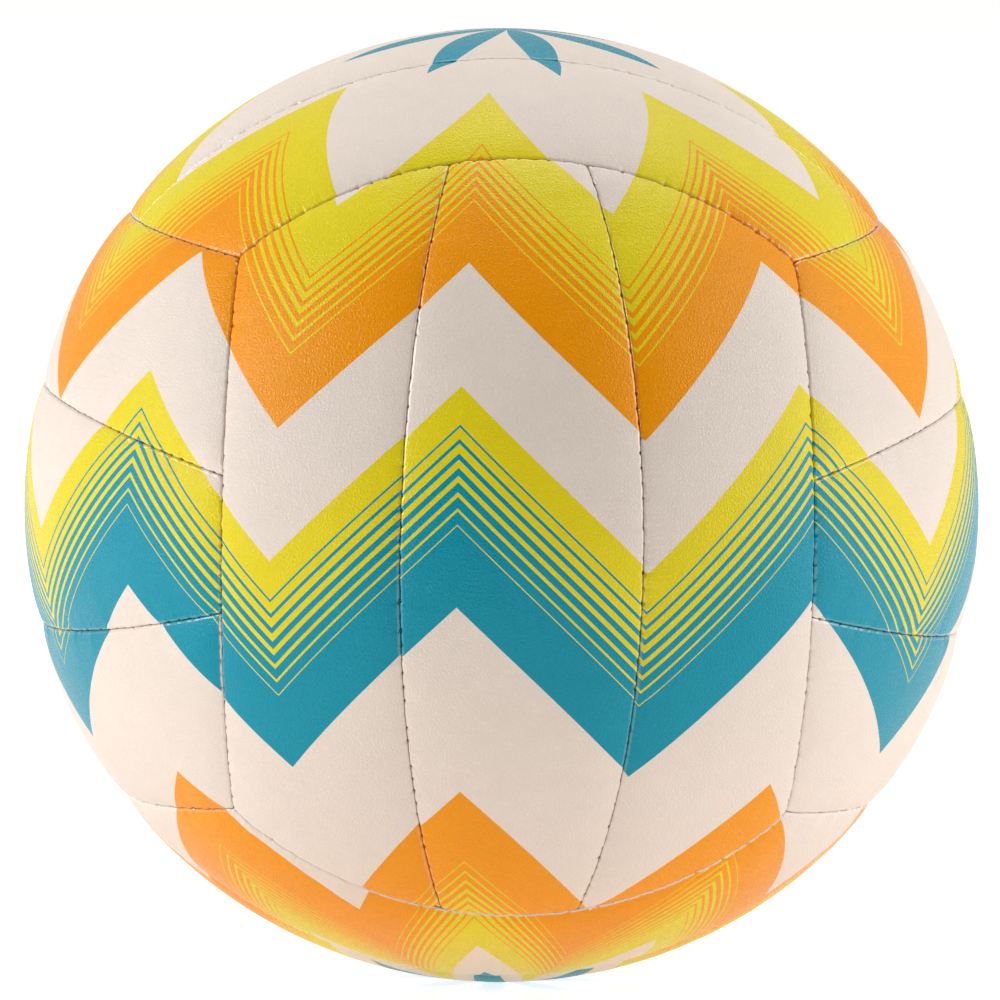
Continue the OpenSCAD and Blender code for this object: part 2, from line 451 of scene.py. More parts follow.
@dataclass(frozen=True)
class Layers:
    """Depths below the crown of the ball, and insets from the middle of a seam."""

    skin: float = 0.9 * MM
    gap: float = 0.3 * MM
    pad: float = 2.8 * MM
    lining: float = 0.5 * MM
    hem: float = 1.3 * MM
    seam_gap: float = 0.3 * MM

    @property
    def pad_top(self) -> float:
        """Depth of the pad's outer face."""
        return self.skin + self.gap

    @property
    def pad_foot(self) -> float:
        """Depth of the pad's inner face."""
        return self.pad_top + self.pad

    @property
    def lining_top(self) -> float:
        """Depth of the lining's outer face."""
        return self.pad_foot + self.gap

    @property
    def lining_foot(self) -> float:
        """Depth of the lining's inner face, where the hems end."""
        return self.lining_top + self.lining

    @property
    def hem_inset(self) -> float:
        """Inset of the hem's inner face."""
        return self.seam_gap / 2 + self.hem

    @property
    def backing_inset(self) -> float:
        """Inset of the pad and the lining."""
        return self.hem_inset + self.gap


@dataclass(frozen=True)
class SeamShape:
    """How a cover rolls into its seams, and how the stitches pull on it."""

    shoulder: float = 0.65 * MM
    press: float = 0.86
    crown: float = 1.05 * MM
    crown_reach: float = 4.2 * MM
    pitch: float = 3.3 * MM
    pull: float = 0.24 * MM
    pull_width: float = 0.38 * MM
    pull_reach: float = 0.85 * MM
    pull_least: float = 0.1
    pull_range: float = 1.3
    pull_bias: float = 1.3
    pulls_each_way: int = 50
    gap: float = 0.012 * MM
    gap_at_stitch: float = 0.17 * MM
    gap_reach: float = 0.5 * MM
    corner_gap: float = 0.13 * MM
    corner_reach: float = 0.9 * MM
    slack_lengths: tuple[float, ...] = (19 * MM, 33 * MM, 57 * MM)
    wrinkle: float = 0.026 * MM
    wrinkle_length: float = 3 * MM
    wrinkle_lengths: tuple[float, ...] = tuple(
        x * MM for x in (1.7, 2.3, 3.1, 4.3, 5.9, 8.3, 12.0))
    wrinkle_reach: float = 0.75
    swell: float = 0.035 * MM
    swell_lengths: tuple[float, ...] = tuple(x * MM for x in (16, 20, 25, 31, 40, 52))

    def stitch(self, arc: Array) -> Array:
        """1 at each stitch and almost 0 between: a bell of the distance to the nearest stitch."""
        miss = ((arc / self.pitch + 0.5) % 1 - 0.5) * self.pitch
        return np.exp(-((miss / self.pull_width) ** 2))

    def roll(self, distance: Array) -> Array:
        """Depth of the rolled edge: an arc of a circle, cut where two covers press together."""
        short = np.clip(self.press * self.shoulder - distance, 0, None)
        return self.shoulder - np.sqrt(self.shoulder**2 - short**2)


@dataclass
class PanelRelief:
    """The relief of one panel's outer face, with its own wrinkles and stitch pulls."""

    pattern: PanelPattern
    shape: SeamShape
    strip: int
    number: int
    phases: Array = field(init=False)
    pulls: Array = field(init=False)
    slack_phases: Array = field(init=False)

    def __post_init__(self) -> None:
        """Draws the panel's own wrinkles, how tight each stitch is, and where a seam gives."""
        random, shape, seams = np.random.default_rng(RELIEF_SEED + self.number), self.shape, 4
        self.phases = random.uniform(0, 2 * math.pi, (seams, len(shape.wrinkle_lengths)))
        tight = random.random((seams, 2 * shape.pulls_each_way + 1)) ** shape.pull_bias
        self.pulls = shape.pull_least + shape.pull_range * tight
        self.slack_phases = random.uniform(0, 2 * math.pi, (seams, len(shape.slack_lengths)))

    @property
    def seams(self) -> tuple[Seam, ...]:
        """The four seams round the panel."""
        return self.pattern.edges(self.strip)

    def distances(self, directions: Array) -> list[Array]:
        """Distance to each of the four seams."""
        return [seam.distance(directions, self.pattern.radius) for seam in self.seams]

    def edge_distance(self, directions: Array) -> Array:
        """Distance to the nearest seam."""
        return np.min(self.distances(directions), axis=0)

    def wrinkles(self, seam: int, distance: Array, arc: Array) -> Array:
        """Fine waves across a seam: cosines of the arc that fade with their own wave length.

        Args:
            seam: Which of the four seams.
            distance: Distances from the seam.
            arc: Distances along it.

        Returns:
            Depths of the waves, with a sign.
        """
        shape, total = self.shape, np.zeros_like(arc)
        for length, phase in zip(shape.wrinkle_lengths, self.phases[seam]):
            height = shape.wrinkle * math.sqrt(length / shape.wrinkle_length)
            fade = np.exp(-distance / (shape.wrinkle_reach * length))
            total += height * np.cos(2 * math.pi * arc / length + phase) * fade
        return total

    def stitch_pull(self, seam: int, arc: Array) -> Array:
        """How strongly the nearest stitch pulls, which falls away to 0 between the stitches.

        Args:
            seam: Which of the four seams.
            arc: Distances along it.

        Returns:
            The pulls, from 0 up to the least pull and its range together.
        """
        most = self.shape.pulls_each_way
        which = np.clip(np.round(arc / self.shape.pitch), -most, most).astype(int) + most
        return self.shape.stitch(arc) * self.pulls[seam][which]

    def slack(self, seam: int, arc: Array) -> Array:
        """How far the seam gives: 1 plus the mean of three slow cosines.

        Args:
            seam: Which of the four seams.
            arc: Distances along it.

        Returns:
            Its give at each, from 0 to 2.
        """
        waves = [np.cos(2 * math.pi * arc / length + phase)
                 for length, phase in zip(self.shape.slack_lengths, self.slack_phases[seam])]
        return 1 + np.mean(waves, axis=0)

    def swell(self, directions: Array) -> Array:
        """A slow uneven swell of the foam: the mean of six sine waves in different directions.

        Args:
            directions: Unit vectors in the face's frame.

        Returns:
            The swell, from -1 to 1.
        """
        random = np.random.default_rng(SWELL_SEED + self.number)
        points, total = directions * self.pattern.radius, np.zeros(directions.shape[:-1])
        for length in self.shape.swell_lengths:
            way, phase = unit(random.normal(size=3)), random.uniform(0, 2 * math.pi)
            total += np.sin(2 * math.pi * (points @ way) / length + phase)
        return total / len(self.shape.swell_lengths)

    def depth(self, directions: Array) -> Array:
        """Depth of the outer face below the ball's radius.

        For each seam, the rolled edge, the crown's fall exp(-x / reach) and the stitch's pull add
        up. The four sums are joined by the cube root of the sum of their cubes. Wrinkles, and a
        slow swell of the foam, are added.

        Args:
            directions: Unit vectors in the face's frame.

        Returns:
            The depths, never below zero.
        """
        shape, cubes, waves = self.shape, 0.0, 0.0
        for number, (seam, far) in enumerate(zip(self.seams, self.distances(directions))):
            far, arc = np.clip(far, 0, None), seam.arc(directions, self.pattern.radius)
            fall = shape.roll(far) + shape.crown * np.exp(-far / shape.crown_reach)
            tight = shape.pull * self.stitch_pull(number, arc)
            fall = fall + tight * np.exp(-far / shape.pull_reach)
            cubes = cubes + fall**3
            waves = waves + self.wrinkles(number, far, arc)
        swell = shape.swell * (1 + self.swell(directions))
        return np.clip(np.cbrt(cubes) + waves + swell, 0, None)

    def opened(self, directions: Array) -> Array:
        """Moves points near a seam into the panel, so that a narrow gap opens.

        Args:
            directions: Unit vectors in the face's frame.

        Returns:
            Unit vectors, moved away from each seam by the gap times exp(-(distance / reach)^2).
            The gap is wider at a stitch and where two seams meet.
        """
        shape, moved = self.shape, directions
        each = [np.clip(far, 0, None) for far in self.distances(directions)]
        for number, (seam, far) in enumerate(zip(self.seams, each)):
            arc = seam.arc(directions, self.pattern.radius)
            other = np.min([d for k, d in enumerate(each) if k != number], axis=0)
            gap = shape.gap * self.slack(number, arc)
            gap = gap + shape.gap_at_stitch * self.stitch_pull(number, arc)
            gap = gap + shape.corner_gap * np.exp(-((other / shape.corner_reach) ** 2))
            step = gap * np.exp(-((far / shape.gap_reach) ** 2)) / self.pattern.radius
            moved = moved + step[..., None] * seam.inward(directions)
        return unit(moved)


@dataclass(frozen=True)
class Opening:
    """A round hole at the middle of a panel, for the valve.

    Its block is half the rows and half the columns of cells that it takes from a grid.
    """

    radius: float
    block: tuple[int, int]
    rings: int = 4
    lip: float = 0.0
    lip_rings: int = 0

    def cut(self, grid: Array) -> Block:
        """Points of the hole's block in the middle of a grid."""
        middles = ((size - 1) // 2 for size in grid.shape)
        return tuple(slice(m - half, m + half + 1) for m, half in zip(middles, self.block))

    def shares(self) -> list[float]:
        """Steps of the rings: up to 1 from the block to the circle, and up to 2 over the lip."""
        over_lip = [1 + k / self.lip_rings for k in range(1, self.lip_rings + 1)]
        return [k / self.rings for k in range(1, self.rings + 1)] + over_lip

    def over(self, share: float) -> float:
        """Turn over the lip at a ring's step, in radians."""
        return max(share - 1, 0.0) * math.pi / 2

    def ring_directions(self, loop: Array, share: float, ball: float) -> Array:
        """Points between a loop and the circle round Z with the hole's radius and its lip.

        Args:
            loop: Directions of the loop that bounds the hole's block.
            share: 0 on the loop and 1 on the circle; above 1 the circle shrinks over the lip.
            ball: Radius of the ball.

        Returns:
            Directions, straight mixes of the loop and the circle in the plane across Z.
        """
        flat = loop[:, :2] / loop[:, 2:]
        circle = flat / np.linalg.norm(flat, axis=1, keepdims=True)
        wide = math.tan((self.radius + self.lip) / ball)
        narrow = math.tan(self.radius / ball)
        target = circle * (wide + (narrow - wide) * math.sin(self.over(share)))
        mixed = flat + (target - flat) * min(share, 1.0)
        return unit(np.concatenate([mixed, np.ones((len(mixed), 1))], axis=1))


@dataclass(frozen=True)
class Slab:
    """A pad or a lining: the depths of its faces, its hole for the valve and its rounded edge."""

    kind: str
    top: float
    foot: float
    hole: Opening
    roll: float = 0.0
    roll_reach: float = 0.6 * MM
    edge_step: float = 0.5 * MM
    step: float = 2.6 * MM
    step_growth: float = 0.25
    full_thickness: float = 2 * MM

    @property
    def follow(self) -> float:
        """Share of the cover's relief that its outer face follows, which is all if it is thick."""
        return min(1.0, (self.foot - self.top) / self.full_thickness)


@dataclass(frozen=True)
class PrintFit:
    """How a print sits on a panel, in millimetres: a shift, and a bare margin along some seams."""

    shift: float = 0.9
    bare_chance: float = 0.15
    bare: tuple[float, float] = (0.25, 0.5)
    no_margin: float = -1.0


@dataclass
class Panel:
    """One strip of a face: its cover, the foam pad behind it and the lining behind that."""

    face: Face
    strip: int
    number: int
    pattern: PanelPattern
    layers: Layers
    valve: bool = False
    shape: SeamShape = SeamShape()
    fit: PrintFit = PrintFit()
    ring_insets: tuple[float, ...] = tuple(
        x * MM for x in (4.4, 3.5, 2.7, 2.05, 1.55, 1.18, 0.9, 0.68, 0.5, 0.36, 0.25, 0.165, 0.1,
                         0.045, 0.0))
    hem_steps: tuple[float, ...] = (0.3, 0.65, 1.0)
    cell: float = 1.34 * MM
    fineness: int = 4
    cover_hole: Opening = Opening(2.4 * MM, (4, 4), 8, 0.45 * MM, 6)
    pad_hole: Opening = Opening(5.2 * MM, (4, 4))
    lining_hole: Opening = Opening(20.2 * MM, (10, 9))
    pad_roll: float = 0.5 * MM
    relief: PanelRelief = field(init=False)

    def __post_init__(self) -> None:
        """Makes the relief that the three layers share."""
        self.relief = PanelRelief(self.pattern, self.shape, self.strip, self.number)

    @property
    def name(self) -> str:
        """Name of the strip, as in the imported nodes."""
        return self.face.strip_name(self.strip)

    def slab_places(self, slab: Slab) -> tuple[Array, Array]:
        """Sample places over the strip for a pad or a lining.

        Args:
            slab: Its measures.

        Returns:
            The places across, from 0 to 1, and along, from -1 to 1.
        """
        places = []
        for full in self.pattern.size(self.strip):
            inset = self.layers.backing_inset
            share, length = inset / full, full - 2 * inset
            even = spaced(length, slab.edge_step, slab.step, slab.step_growth)
            places.append(share + (1 - 2 * share) * even)
        return places[0], 2 * places[1] - 1

    def even_places(self, fineness: int) -> Array:
        """Even places over the strip for a cover.

        Args:
            fineness: The number of steps to a cell.

        Returns:
            The places, from 0 to 1 across and -1 to 1 along, on the last axis.
        """
        across, along = (2 * math.ceil(size / self.cell / 2) * fineness
                         for size in self.pattern.size(self.strip))
        evens = np.linspace(0, 1, across + 1), np.linspace(-1, 1, along + 1)
        return np.stack(np.meshgrid(*evens, indexing="ij"), axis=-1)

    def inset_directions(self, places: Array, inset: float) -> Array:
        """Directions of places over the strip after they are all drawn in from the seams.

        Args:
            places: Places across and along the strip, on the last axis.
            inset: How far those on a seam are drawn in.

        Returns:
            Unit vectors in the face's frame.
        """
        width, length = self.pattern.size(self.strip)
        across = inset / width + (1 - 2 * inset / width) * places[..., 0]
        return self.pattern.directions(
            self.strip, across, (1 - 2 * inset / length) * places[..., 1])

    def cover(self) -> bpy.types.Object:
        """Builds the cover as one closed skin.

        The middle of its outer face is an even grid. Finer rings round it follow the seams, closer
        and closer together, and roll over into them. Walls run down from the outermost ring, turn
        in under the hem, and climb to a lid on the underside.

        Returns:
            The cover, with its distance from the seam and its print's shift on its points.
        """
        radius, parts = self.pattern.radius, MeshParts()
        cells, edge = self.even_places(1), rim_points(self.even_places(self.fineness))
        middle = self.inset_directions(cells, self.ring_insets[0] + self.cell)
        top = parts.add(middle * (radius - self.relief.depth(middle))[..., None])
        under = self.inset_directions(cells, self.layers.hem_inset)
        lid_radius = radius - self.relief.depth(under) - self.layers.skin
        lid = parts.add(under * lid_radius[..., None])
        loop = None
        for inset in self.ring_insets:
            rest = self.inset_directions(edge, inset)
            level = (radius - self.relief.depth(rest))[:, None]
            rolled = self.relief.opened(rest)
            ring = parts.add(rolled * level)
            if loop is None:
                parts.bridge(ring, rim(top), outwards=True)
            else:
                parts.wall(loop, ring)
            loop = ring

        foot = radius - self.layers.lining_foot
        for share in self.hem_steps:
            below = parts.add(rolled * (level + (foot - level) * share))
            parts.wall(loop, below)
            loop = below
        hem = parts.add(rim_points(under) * foot)
        parts.bridge(loop, hem)
        parts.wall(hem, rim(lid))

        if self.valve:
            self.open_valve(parts, top, middle, lid)
        else:
            parts.grid(top)
            parts.grid(lid, inwards=True)
        made = parts.piece(f"{self.name}_cover_skin", self.face)
        self.write_print_places(made, np.concatenate(parts.points))
        return made

    def open_valve(self, parts: MeshParts, top: Array, middle: Array, lid: Array) -> None:
        """Leaves a round hole with a rolled lip through the cover, for the valve.

        Args:
            parts: The mesh so far.
            top: Numbers of the points in the middle of the outer face.
            middle: Their directions.
            lid: Numbers of the underside's points.
        """
        radius, hole = self.pattern.radius, self.cover_hole
        block = hole.cut(top)
        parts.grid(top, hole=block)
        parts.grid(lid, inwards=True, hole=block)
        loop, edge = turned(rim(top[block])), rim_points(middle[block], backwards=True)
        for share in hole.shares():
            ring = hole.ring_directions(edge, share, radius)
            depth = self.relief.depth(ring) + hole.lip * (1 - math.cos(hole.over(share)))
            below = parts.add(ring * (radius - depth)[:, None])
            parts.wall(loop, below)
            loop = below
        foot = parts.add(ring * (radius - self.layers.skin - self.shape.swell))
        parts.wall(loop, foot)
        parts.wall(foot, turned(rim(lid[block])))

    def write_print_places(self, made: bpy.types.Object, points: Array) -> None:
        """Stores what the cover's finish reads, in millimetres but for the shift.

        It is the distance from the nearest seam, a small shift of the print, and the distance from
        the edge of the bare margin.

        Args:
            made: The cover.
            points: Its points, in the face's frame.
        """
        random, fit = np.random.default_rng(PRINT_SEED + self.number), self.fit
        each = np.array(self.relief.distances(unit(points))) / MM
        shift = self.face.place(random.uniform(-fit.shift, fit.shift, 3)) * MM
        bare = random.random(len(each)) < fit.bare_chance
        margins = np.where(bare, random.uniform(*fit.bare, len(each)), fit.no_margin)
        write_attribute(made, "seam_distance", each.min(axis=0))
        write_attribute(made, "print_shift", np.tile(shift, (len(points), 1)))
        write_attribute(made, "print_margin", np.min(each - margins[:, None], axis=0))

    def slab(self, plan: Slab) -> bpy.types.Object:
        """Builds a pad or a lining as one closed slab between two depths.

        Args:
            plan: Its measures.

        Returns:
            The slab, with its flat places on its points.
        """
        radius, parts = self.pattern.radius, MeshParts()
        across, along = self.slab_places(plan)
        rest = self.pattern.directions(self.strip, across[:, None], along[None, :])
        far = np.clip(self.relief.edge_distance(rest) - self.layers.backing_inset, 0, None)
        follow = self.relief.depth(rest) * plan.follow
        outer_depth = plan.top + follow + plan.roll * np.exp(-far / plan.roll_reach)
        upper = parts.add(rest * (radius - outer_depth)[..., None])
        lower = parts.add(rest * (radius - plan.foot))
        block = plan.hole.cut(upper) if self.valve else None
        parts.grid(upper, hole=block)
        parts.grid(lower, inwards=True, hole=block)
        parts.wall(rim(upper), rim(lower))
        if block:
            edge = rim_points(rest[block], backwards=True)
            loops = [turned(rim(upper[block])), turned(rim(lower[block]))]
            for share in plan.hole.shares():
                ring = plan.hole.ring_directions(edge, share, radius)
                new = [parts.add(ring * (radius - depth))
                       for depth in (plan.top + follow.min(), plan.foot)]
                parts.wall(loops[0], new[0])
                parts.wall(new[1], loops[1])
                loops = new
            parts.wall(*loops)
        made = parts.piece(f"{self.name}_{plan.kind}", self.face)
        self.write_flat_places(made, np.concatenate(parts.points))
        return made

    def write_flat_places(self, made: bpy.types.Object, points: Array) -> None:
        """Stores how far each point lies across and along the strip, for a weave to follow.

        Args:
            made: The pad or the lining.
            points: Its points, in the face's frame.
        """
        x, y, z = unit(points).T
        flat = np.stack([np.arctan2(x, z), np.arctan2(y, z), np.zeros(len(points))], axis=1)
        write_attribute(made, "cloth_place", flat * self.pattern.radius)

    def pad(self) -> bpy.types.Object:
        """Builds the foam pad, with softly rounded edges."""
        depths = self.layers.pad_top, self.layers.pad_foot
        return self.slab(Slab("foam_pad", *depths, self.pad_hole, self.pad_roll))

    def lining(self) -> bpy.types.Object:
        """Builds the cloth lining."""
        depths = self.layers.lining_top, self.layers.lining_foot
        return self.slab(Slab("cloth_lining", *depths, self.lining_hole))


@dataclass(frozen=True)
class SeamThreads:
    """The thread in a set of seams: a stitch across the seam at each pull, and a run below them."""

    pattern: PanelPattern
    shape: SeamShape = SeamShape()
    thick: float = 0.38 * MM
    reach: float = 0.7 * MM
    top_depth: float = 1.6 * MM
    end_depth: float = 2.25 * MM
    slant: float = 0.22 * MM
    stitch_tip: float = 0.3
    end_gap: float = 1.9 * MM
    run_depth: float = 2.45 * MM
    run_step: float = 1.7 * MM
    run_sway: float = 0.12 * MM
    run_tip: float = 0.1
    sides: int = 6
    steps: int = 5

    def stitches(self, parts: MeshParts, face: Face, seam: Seam, length: float) -> None:
        """Adds a seam's stitches.

        A stitch's middle line is p * (R - depth) + across * reach * t + along * slant * t with t
        from -1 to 1, where the depth grows with the square of t. A circle is carried along it.

        Args:
            parts: The mesh so far.
            face: The face that the seam belongs to.
            seam: The seam.
            length: Length of the seam.
        """
        last = math.floor((length / 2 - self.end_gap) / self.shape.pitch)
        arcs = np.arange(-last, last + 1) * self.shape.pitch
        points, across = seam.line(arcs, self.pattern.radius)
        along = np.cross(across, points)
        t = np.linspace(-1, 1, self.steps)[None, :, None]
        depth = self.top_depth + (self.end_depth - self.top_depth) * t**2
        line = (points[:, None] * (self.pattern.radius - depth)
                + across[:, None] * self.reach * t + along[:, None] * self.slant * t)
        self.tube(parts, face, line, points[:, None], self.stitch_tip)

    def run(self, parts: MeshParts, face: Face, seam: Seam, length: float) -> None:
        """Adds the run of thread that lies in the seam below the stitches, from end to end.

        Args:
            parts: The mesh so far.
            face: The face that the seam belongs to.
            seam: The seam.
            length: Length of the seam.
        """
        half = length / 2 - self.end_gap
        arcs = np.linspace(-half, half, math.ceil(2 * half / self.run_step) + 1)
        points, across = seam.line(arcs, self.pattern.radius)
        sway = self.run_sway * np.sin(math.pi * arcs / self.shape.pitch)[:, None]
        line = points * (self.pattern.radius - self.run_depth) + across * sway
        self.tube(parts, face, line[None], points[None], self.run_tip)

    def tube(self, parts: MeshParts, face: Face, line: Array, up: Array, tip: float) -> None:
        """Carries a circle along middle lines: line + r * (cos a * n + sin a * b).

        Args:
            parts: The mesh so far.
            face: The face whose frame the lines are in.
            line: Middle points, one tube to a row.
            up: Unit vectors that look away from the ball.
            tip: How far the point at each end stands out, as a share of the thread's width.
        """
        way = face.place(unit(np.gradient(line, axis=1)))
        line, up = face.place(line), face.place(up)
        side = unit(np.cross(way, up))
        over = np.cross(side, way)
        angle = np.arange(self.sides) * 2 * math.pi / self.sides
        ring = (np.cos(angle)[:, None] * over[..., None, :]
                + np.sin(angle)[:, None] * side[..., None, :]) * self.thick / 2
        index = parts.add(line[..., None, :] + ring)
        after = np.roll(index, -1, axis=-1)
        parts.add_faces(np.stack(
            [index[:, :-1], after[:, :-1], after[:, 1:], index[:, 1:]], axis=-1))
        for end, hand in ((0, -1), (-1, 1)):
            bulge = way[:, end] * (tip * self.thick * hand)
            point = parts.add(line[:, end] + bulge)[:, None]
            a, b = (index, after) if hand > 0 else (after, index)
            hub = np.broadcast_to(point, a[:, end].shape)
            parts.add_faces(np.stack([a[:, end], b[:, end], hub], axis=-1))

    def piece(self, name: str, between_faces: bool) -> bpy.types.Object:
        """Makes the thread of twelve seams.

        Args:
            name: Name of the piece.
            between_faces: Whether its seams lie between faces, or else between strips.

        Returns:
            The piece.
        """
        parts = MeshParts()
        for face in Face:
            for hand in (-1, 1):
                if between_faces:
                    seam, length = self.pattern.side_seam(hand), self.pattern.side_length
                else:
                    seam = self.pattern.inner_seam(hand, 1)
                    length = self.inner_length(seam)
                self.stitches(parts, face, seam, length)
                self.run(parts, face, seam, length)
        return parts.piece(name)

    def inner_length(self, seam: Seam) -> float:
        """Length of a seam between strips, up to the seams that it runs into."""
        ends = self.pattern.directions(1, np.array([1.0]), np.array([1.0]))
        return 2 * float(abs(seam.arc(ends, self.pattern.radius)[0]))


class NodeSheet:
    """Places nodes in a material, a group or a world, and joins their sockets."""

    def __init__(self, tree: bpy.types.NodeTree) -> None:
        """Starts on an empty tree."""
        self.tree = tree
        tree.nodes.clear()

    def join(self, value: Value, socket: Socket) -> None:
        """Sets a socket to a value, or links another socket to it.

        Args:
            value: The value or the other socket.
            socket: The socket that takes it.
        """
        if isinstance(value, bpy.types.NodeSocket):
            self.tree.links.new(value, socket)
        else:
            socket.default_value = value

    def add(self, kind: str, inputs: dict[str | int, Value] | None = None,
            **settings: object) -> bpy.types.Node:
        """Adds a node.

        Args:
            kind: The node's type, less the word ShaderNode.
            inputs: Values or sockets by the name or the number of an input.
            **settings: The node's own settings.

        Returns:
            The node.
        """
        made = self.tree.nodes.new(f"ShaderNode{kind}")
        for name, value in settings.items():
            setattr(made, name, value)
        for key, value in (inputs or {}).items():
            self.join(value, made.inputs[key])
        return made

    def maths(self, operation: str, *values: Value) -> Socket:
        """Adds one sum on numbers and gives its result."""
        return self.add("Math", dict(enumerate(values)), operation=operation).outputs[0]

    def vector(self, operation: str, *values: Value) -> Socket:
        """Adds one sum on vectors and gives its result."""
        return self.add("VectorMath", dict(enumerate(values)), operation=operation).outputs[0]

    def blend(self, share: Value, first: Value, second: Value, mode: str = "MIX") -> Socket:
        """Mixes two colours. The node takes the share in its input 0 and colours in 6 and 7."""
        inputs = {0: share, 6: first, 7: second}
        return self.add("Mix", inputs, data_type="RGBA", blend_type=mode).outputs[2]

    def between(self, value: Value, low: Value, high: Value, start: Value = 0.0,
                end: Value = 1.0, smooth: bool = True) -> Socket:
        """Maps a number from low and high to start and end, with soft ends or straight.

        Args:
            value: The number.
            low: Where the map starts.
            high: Where the map ends.
            start: The result at low and beyond.
            end: The result at high and beyond.
            smooth: Whether the ends are soft.

        Returns:
            The result.
        """
        inputs = dict(enumerate((value, low, high, start, end)))
        kind = "SMOOTHSTEP" if smooth else "LINEAR"
        return self.add("MapRange", inputs, interpolation_type=kind).outputs[0]

    def group(self, name: str, inputs: dict[str, Value]) -> bpy.types.Node:
        """Places a finished node group with its own values."""
        return self.add("Group", inputs, node_tree=bpy.data.node_groups[name])

    def noise(self, place: Value, scale: float, detail: float) -> bpy.types.Node:
        """Adds smooth noise at a place."""
        return self.add("TexNoise", {"Vector": place, "Scale": scale, "Detail": detail})

    def seen(self) -> Socket:
        """Gives 1 for what the camera sees, straight or through clear things, and 0 for light."""
        ray = self.add("LightPath").outputs
        return self.maths("MAXIMUM", ray["Is Camera Ray"], ray["Is Transmission Ray"])


VECTOR, FLOAT, COLOUR = "NodeSocketVector", "NodeSocketFloat", "NodeSocketColor"
WHITE: Colour = (1.0, 1.0, 1.0, 1.0)


@dataclass(frozen=True)
class GroupSheet:
    """Makes a shader node group with named inputs and outputs. A vector has no value of its own."""

    name: str
    inputs: tuple[tuple[str, str, Value | None], ...]
    outputs: tuple[tuple[str, str], ...]

    def start(self) -> tuple[NodeSheet, Sockets]:
        """Makes the group and its sockets.

        Returns:
            Its sheet, and the sockets of its input node, by name.
        """
        tree = bpy.data.node_groups.new(self.name, "ShaderNodeTree")
        sheet = NodeSheet(tree)
        for label, kind, value in self.inputs:
            made = tree.interface.new_socket(label, in_out="INPUT", socket_type=kind)
            if value is not None:
                made.default_value = value
        for label, kind in self.outputs:
            tree.interface.new_socket(label, in_out="OUTPUT", socket_type=kind)
        return sheet, tree.nodes.new("NodeGroupInput").outputs

    def finish(self, sheet: NodeSheet, results: dict[str, Socket]) -> None:
        """Joins the results to the group's outputs.

        Args:
            sheet: The group's sheet.
            results: A socket for each output, by name.
        """
        out = sheet.tree.nodes.new("NodeGroupOutput")
        for label, socket in results.items():
            sheet.tree.links.new(socket, out.inputs[label])


@dataclass(frozen=True)
class PebbleGrain:
    """The grain of pressed leather: rounded pebbles between fine creases, in widths of a pebble."""

    drift_scale: float = 0.55
    drift: float = 1.3
    unevenness: float = 0.9
    slope: float = 0.32
    crease: float = 0.13
    fine_scale: float = 2.6
    fine: float = 0.45
    broad_scale: float = 0.3
    broad: float = 0.5

    def make_group(self) -> None:
        """Makes the grain's node group.

        Inputs are the place and the size of a pebble. Height is 1 on a pebble and 0 in a crease,
        plus fine and broad noise, and Crease is 1 in a crease only.
        """
        maker = GroupSheet("pebble_grain", (("Vector", VECTOR, None), ("Size", FLOAT, 0.9 * MM)),
                           (("Height", FLOAT), ("Crease", FLOAT)))
        sheet, given = maker.start()
        scaled = sheet.vector("DIVIDE", given["Vector"], given["Size"])
        drift = sheet.noise(scaled, self.drift_scale, 2.0)
        bent = sheet.vector("MULTIPLY_ADD", drift.outputs["Color"], (self.drift,) * 3, scaled)
        cells = sheet.add("TexVoronoi", {"Vector": bent, "Scale": 1.0,
                                         "Randomness": self.unevenness},
                          feature="DISTANCE_TO_EDGE")
        edge = cells.outputs["Distance"]
        pebble = sheet.between(edge, 0.0, self.slope)
        fine = sheet.noise(bent, self.fine_scale, 3.0).outputs[0]
        broad = sheet.noise(scaled, self.broad_scale, 1.0).outputs[0]
        height = sheet.maths("MULTIPLY_ADD", fine, self.fine, pebble)
        height = sheet.maths("MULTIPLY_ADD", broad, self.broad, height)
        crease = sheet.between(edge, 0.0, self.crease, 1.0, 0.0)
        maker.finish(sheet, {"Height": height, "Crease": crease})


@dataclass(frozen=True)
class Mottle:
    """Slow uneven shading in two sizes, the small one as a share of the broad one."""

    small_scale: float = 5.3
    small: float = 0.4

    def make_group(self) -> None:
        """Makes the node group: Value runs from 0 to 1 about a half."""
        maker = GroupSheet("mottle", (("Vector", VECTOR, None), ("Size", FLOAT, 10 * MM)),
                           (("Value", FLOAT),))
        sheet, given = maker.start()
        scaled = sheet.vector("DIVIDE", given["Vector"], given["Size"])
        broad = sheet.noise(scaled, 1.0, 2.0).outputs[0]
        small = sheet.noise(scaled, self.small_scale, 2.0).outputs[0]
        value = sheet.maths("MULTIPLY_ADD", small, self.small,
                            sheet.maths("MULTIPLY", broad, 1 - self.small))
        maker.finish(sheet, {"Value": value})


